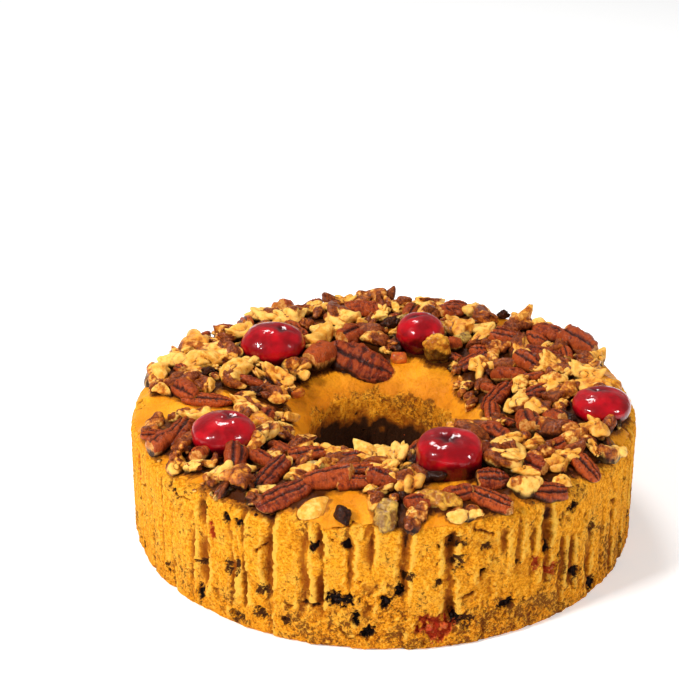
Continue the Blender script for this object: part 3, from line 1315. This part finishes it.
for name in lying:
    if name.startswith("candied"):
        makeCandied(name)
print("candied fruit made")


# smaller toppings

def treeOf(pieces):
    points, faces = [], []
    for piece in pieces:
        piecePoints, pieceFaces = readMesh(piece.data, 1.0 / mm)
        faces += [[len(points) + corner for corner in face] for face in pieceFaces]
        points += piecePoints.tolist()
    return BVHTree.FromPolygons(points, faces)


doughTree = treeOf([doughRing])


def seatAxes(x, y, turn, upright=0.6):
    # the place on the dough below a point, and axes that lie with it
    hit, normal, _, _ = doughTree.ray_cast(Vector((x, y, 90.0)), Vector((0.0, 0.0, -1.0)))
    if hit is None or hit.z < 20.0:
        return None
    above = (normal + Vector((0.0, 0.0, upright))).normalized()
    along = Vector((math.cos(turn), math.sin(turn), 0.0))
    along = (along - above * along.dot(above)).normalized()
    return np.array(hit), np.stack([along, above.cross(along), above], 1)


class Heap:
    # many small shapes joined into one piece

    def __init__(self, *markNames):
        self.points, self.faces, self.count = [], [], 0
        self.marks = {name: [] for name in markNames}

    def add(self, points, faces, **marks):
        self.faces += (np.array(faces) + self.count).tolist()
        self.points.append(points)
        self.count += len(points)
        for name, values in marks.items():
            shape = np.shape(values) or (len(points),)
            self.marks[name].append(np.broadcast_to(values, shape))

    def show(self, name, look, slot):
        marks = {key: np.concatenate(values) for key, values in self.marks.items()}
        print(name, "with", len(self.faces), "faces")
        return showPiece(name, np.concatenate(self.points), self.faces, look, slot, **marks)


def keepInside(points):
    # a piece whose end would stick out past the wall is pushed back in
    radius = np.hypot(points[:, 0], points[:, 1])
    far = int(np.argmax(radius))
    excess = max(0.0, radius[far] - chips["edge"])
    return points - np.array([points[far, 0], points[far, 1], 0.0]) / radius[far] * excess


chips = {
    "walnutForms": 26, "pecanForms": 12, "seed": 77,
    "fineFrom": 7.5,         # pieces as long as this have the finer mesh
    "crumbs": 420,
    "edge": 86.6,            # how far out the toppings reach
}


def walnutForm(seed, columns, rows):
    # a broken scrap of walnut in a box from -1 to 1: lobed, creased, bent and snapped off flat
    rng = np.random.default_rng(seed)
    skin, faces = ball((0.0, 0.0, 0.0), 1.0, columns, rows)
    shift = rng.uniform(0.0, 40.0, 3)
    lobes = np.abs(rolling(skin + shift, rng.uniform(1.0, 1.6), seed))
    folds = np.abs(rolling(skin + shift + 9.0, 0.7, seed + 1))
    lump = 0.6 + 0.9 * np.clip(lobes, 0.0, 0.6) ** 0.8 + 0.12 * folds
    hollow = np.zeros(len(skin))
    for _ in range(int(rng.integers(0, 3))):
        at = rng.normal(size=3) + (0.0, 0.0, 0.9)
        at /= np.linalg.norm(at)
        hollow += rng.uniform(0.25, 0.5) * np.exp(-(1.0 - skin @ at) / rng.uniform(0.08, 0.2))
    points = skin * (lump * (1.0 - np.clip(hollow, 0.0, 0.55)))[:, None]
    points *= (1.0, rng.uniform(0.6, 0.85), rng.uniform(0.5, 0.75))
    points[:, 1] += rng.uniform(-0.8, 0.8) * (points[:, 0] ** 2 - 0.3)
    points[:, 2] += rng.uniform(-0.3, 0.4) * points[:, 0] ** 2
    twist = rng.uniform(-0.8, 0.8) * points[:, 0]
    y = points[:, 1] * np.cos(twist) - points[:, 2] * np.sin(twist)
    points[:, 2] = points[:, 1] * np.sin(twist) + points[:, 2] * np.cos(twist)
    points[:, 1] = y
    snapped = np.zeros(len(skin))
    for _ in range(int(rng.integers(1, 3))):
        way = rng.normal(size=3)
        way /= np.linalg.norm(way)
        over = points @ way - (points @ way).max() * rng.uniform(0.55, 0.8)
        over += 0.1 * rolling(points * 3.0, 1.0, seed + 2)
        points -= np.clip(over, 0.0, None)[:, None] * way * 0.85
        snapped = np.maximum(snapped, smoothStep(-0.02, 0.06, over))
    points = (points - points.min(axis=0)) / (points.max(axis=0) - points.min(axis=0)) * 2.0 - 1.0
    back = rng.normal(size=3)
    back /= np.linalg.norm(back)
    husk = smoothStep(0.1, 0.7, skin @ back + 0.5 * rolling(skin + shift, 0.7, seed + 4)) * (1.0 - snapped)
    low = np.clip(smoothStep(0.08, 0.0, lobes) * (1.0 - snapped) + 0.5 * hollow, 0.0, 1.0)
    relief = np.clip(reliefOf(points, faces, 4) / 0.12, -1.0, 1.0)
    return points, faces, husk, low, relief


def almondForm(columns, rows):
    # a smooth blanched kernel in a box from -1 to 1, pointed at one end
    skin, faces = ball((0.0, 0.0, 0.0), 1.0, columns, rows)
    points = skin * (1.0, 1.0, 1.0)
    points[:, 1] *= 1.0 - 0.3 * smoothStep(-0.2, 1.0, points[:, 0]) + 0.04 * rolling(skin * 2.0, 1.0, 7)
    points[:, 1] += 0.12 * points[:, 0] ** 2
    edge = smoothStep(0.45, 0.75, skin[:, 1]) + smoothStep(0.75, 0.95, skin[:, 0])
    return points, faces, 0.75 * edge, np.zeros(len(skin)), np.zeros(len(skin))


def wrinkledBall(rng, columns=22, rows=15):
    points, faces = ball((0.0, 0.0, 0.0), 1.0, columns, rows)
    place = points + rng.uniform(0.0, 50.0, 3)
    folds = np.exp(-(rolling(place, 0.7, 5) / 0.16) ** 2)
    return points * (0.95 + 0.35 * layered(place, 0.7, 2, 6) - 0.25 * folds)[:, None], faces


def makeSmallToppings():
    rng = np.random.default_rng(chips["seed"] + 1)
    walnutForms = {
        size: [walnutForm(200 + 7 * i, columns, rows) for i in range(chips["walnutForms"])]
        for size, columns, rows in (("fine", 34, 23), ("coarse", 22, 15), ("crumb", 10, 7))
    }
    furrows = ((-0.34, 0.34), (0.0,), (-0.3,))
    pecanForms = [
        pecanForm(30, 26, 40 + 11 * i, furrows[i % 3], (i % 2, (i // 2) % 2 or i % 3 == 0),
                  pecanShape["wrinkle"] * 1.2)
        for i in range(chips["pecanForms"])
    ]
    walnuts, skins = Heap("skin", "low", "tone", "relief"), Heap("skin", "low", "tone", "relief")
    pecans, crumbs = Heap("cut", "low", "tone", "relief", "own"), Heap("skin", "low", "tone", "relief")
    fruit, raisins = Heap("redness", "paleness"), Heap("husk")
    for row in allSmall:
        kind, bearing, distance, long, wide, tall, turn = row
        x, y = flatPlace(bearing, distance)
        flip = rng.integers(2) * math.pi
        seat = seatAxes(x, y, math.radians(turn) + flip, 0.8)
        if seat is None:
            continue
        hit, axes = seat
        roll = Matrix.Rotation(rng.uniform(-0.8, 0.8), 3, "X")
        axes = axes @ np.array(roll @ Matrix.Rotation(rng.uniform(-0.4, 0.4), 3, "Y"))
        half = np.array([long, wide, tall]) / 2.0
        sunk = 0.75 if kind == "walnutFlush" else rng.uniform(0.08, 0.3)
        middle = hit + axes[:, 2] * half[2] * (1.0 - 2.0 * sunk)
        form = int(rng.integers(chips["walnutForms"]))
        tone = rng.uniform(-1.0, 1.0)
        if kind == "walnutFlush":
            points, faces, skin, low, relief = almondForm(40, 27)
            placed = keepInside(points * half @ seat[1].T + middle)
            walnuts.add(placed, faces, skin=skin, low=low, tone=-0.2, relief=relief)
            continue
        if kind in ("walnut", "husk"):
            forms = walnutForms["fine" if long > chips["fineFrom"] else "coarse"]
            points, faces, skin, low, relief = forms[form]
            extra = {"walnut": rng.choice([-0.6, -0.35, -0.1, 0.1]), "husk": rng.uniform(0.25, 0.7)}
            heap = skins if kind == "husk" else walnuts
            skin = np.clip(skin + extra[kind], 0.0, 1.3)
            placed = keepInside(points * half @ axes.T + middle)
            heap.add(placed, faces, skin=skin, low=low, tone=tone + 0.4 * (kind == "husk"), relief=relief)
        elif kind == "pecan":
            points, faces, cut, low = pecanForms[form % chips["pecanForms"]]
            relief = np.clip(reliefOf(points * half, faces, 4) / 0.15, -1.0, 1.0)
            placed = keepInside(points * half @ axes.T + middle)
            pecans.add(placed, faces, cut=cut, low=low, tone=tone, relief=relief, own=points * half)
        elif kind == "raisin":
            points, faces = wrinkledBall(rng)
            raisins.add(keepInside(points * half @ axes.T + middle), faces, husk=rng.uniform(0.1, 0.6))
        else:
            points, faces = ball((0.0, 0.0, 0.0), 1.0, 22, 15)
            points = points * (0.55 + 0.45 / np.abs(points).max(axis=1))[:, None]
            points = points * (1.0 + 0.16 * layered(points + rng.uniform(0.0, 50.0, 3), 0.8, 2, 6))[:, None]
            red = float(rng.uniform(0.45, 1.0)) if kind == "fruit" else 0.0
            placed = keepInside(points * half @ axes.T + middle)
            fruit.add(placed, faces, redness=red, paleness=float(kind == "fruitPale"))
    for _ in range(chips["crumbs"]):
        distance = math.sqrt(rng.uniform(33.0 ** 2, 86.0 ** 2))
        bearing, size = rng.uniform(0.0, 360.0), rng.uniform(0.9, 2.6)
        seat = seatAxes(*flatPlace(bearing, distance), rng.uniform(0.0, 6.3), 0.8)
        if seat is None or isBare(bearing, distance):
            continue
        points, faces, skin, low, relief = walnutForms["crumb"][int(rng.integers(chips["walnutForms"]))]
        half = np.array([size, size * rng.uniform(0.6, 0.9), size * rng.uniform(0.5, 0.8)]) / 2.0
        placed = keepInside(points * half @ seat[1].T + seat[0] + seat[1][:, 2] * half[2] * 0.4)
        skin = np.clip(skin + rng.uniform(-0.5, 0.9), 0.0, 1.3)
        crumbs.add(placed, faces, skin=skin, low=low, tone=rng.uniform(-1.0, 1.0), relief=relief)
    walnuts.show("walnutChips", looks["walnut"], "walnut")
    skins.show("walnutSkins", looks["walnut"], "walnut")
    crumbs.show("nutCrumbs", looks["walnut"], "walnut")
    pecans.show("pecanChips", looks["pecan"], "pecan")
    addWallBits(fruit, raisins)
    fruit.show("fruitBits", looks["candied"], "candied_fruit")
    raisins.show("raisins", looks["raisin"], "candied_fruit")


depthMap = {
    "cells": 192, "cell": 1.0, "crowdSize": 3.0, "besideSize": 1.2, "canopySize": 3.0,
}


def softened(grid, size):
    reach = int(3.0 * size) + 1
    weights = np.exp(-0.5 * (np.arange(-reach, reach + 1) / size) ** 2)
    weights /= weights.sum()
    for axis in (0, 1):
        grid = np.apply_along_axis(np.convolve, axis, grid, weights, "same")
    return grid


def markDepth():
    # dark syrup and crumbs gather low down between the toppings
    m = depthMap
    half = m["cells"] // 2

    def cellOf(points):
        cells = np.clip(np.round(points[:, :2] / m["cell"]).astype(int) + half, 0, m["cells"] - 1)
        return cells[:, 0], cells[:, 1]

    pieces = [p for p in bpy.data.objects if p.type == "MESH" and p.visible_get() and len(p.data.materials)]
    leftOut = ("floor", "raisins", "fruitBits")
    pieces = [(p, readMesh(p.data, 1.0 / mm)[0]) for p in pieces if p.name not in leftOut]
    highest = np.full((m["cells"], m["cells"]), -1.0)
    for piece, points in pieces:
        if piece is not doughRing:
            np.maximum.at(highest, cellOf(points), points[:, 2])
    covered = (highest > 0.0).astype(float)
    crowd = softened(covered, m["crowdSize"])
    beside = softened(covered, m["besideSize"])
    soft = softened(covered, m["canopySize"])
    canopy = softened(np.where(covered > 0.0, highest, 0.0), m["canopySize"]) / np.maximum(soft, 0.05)
    for piece, points in pieces:
        cells = cellOf(points)
        if piece is doughRing:
            radius = np.hypot(points[:, 0], points[:, 1])
            deep = np.maximum(smoothStep(0.45, 0.85, crowd[cells]), 0.6 * smoothStep(0.3, 0.8, beside[cells]))
            deep = deep * smoothStep(34.0, 39.0, points[:, 2]) * smoothStep(86.8, 84.5, radius)
        else:
            deep = smoothStep(0.6, 4.2, canopy[cells] - points[:, 2]) * smoothStep(0.3, 0.7, soft[cells])
        addMarks(piece.data, {"deep": deep})


def addWallBits(fruit, raisins):
    # raisins and fruit that lie in the hollows of the wall
    rng = np.random.default_rng(15)
    for kind, bearing, height, wide, tall in bakedIn:
        if kind == "husk" or min(wide, tall) < 3.2:
            continue
        turn = math.radians(bearing)
        outward = np.array([math.cos(turn), math.sin(turn), 0.0])
        start = Vector(outward * 100.0) + Vector((0.0, 0.0, height))
        hit, _, _, _ = doughTree.ray_cast(start, Vector(-outward))
        if hit is None:
            continue
        axes = np.stack([(-math.sin(turn), math.cos(turn), 0.0), (0.0, 0.0, 1.0), outward], 1)
        for _ in range(5):
            points, faces = wrinkledBall(rng, 14, 10)
            size = np.array([wide, tall, min(wide, tall)]) / 2.0 * rng.uniform(0.15, 0.36)
            away = rng.uniform(-0.6, 0.6, 2) * (wide / 2.0, tall / 2.0)
            middle = np.array(hit) + axes[:, 0] * away[0] + axes[:, 1] * away[1] - outward * size[2] * 0.3
            shape = points * size @ axes.T + middle
            shape[:, 2] = np.maximum(shape[:, 2], 0.3)
            if kind == "fruit":
                fruit.add(keepInside(shape), faces, redness=rng.uniform(0.6, 0.9), paleness=0.0)
            else:
                raisins.add(keepInside(shape), faces, husk=0.0)


makeSmallToppings()
markDepth()
print("toppings finished")


# hand-in

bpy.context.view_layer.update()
triangles = sum(
    sum(len(face.vertices) - 2 for face in piece.data.polygons)
    for piece in bpy.data.objects if piece.type == "MESH" and piece.visible_get()
)
print("triangles", triangles)
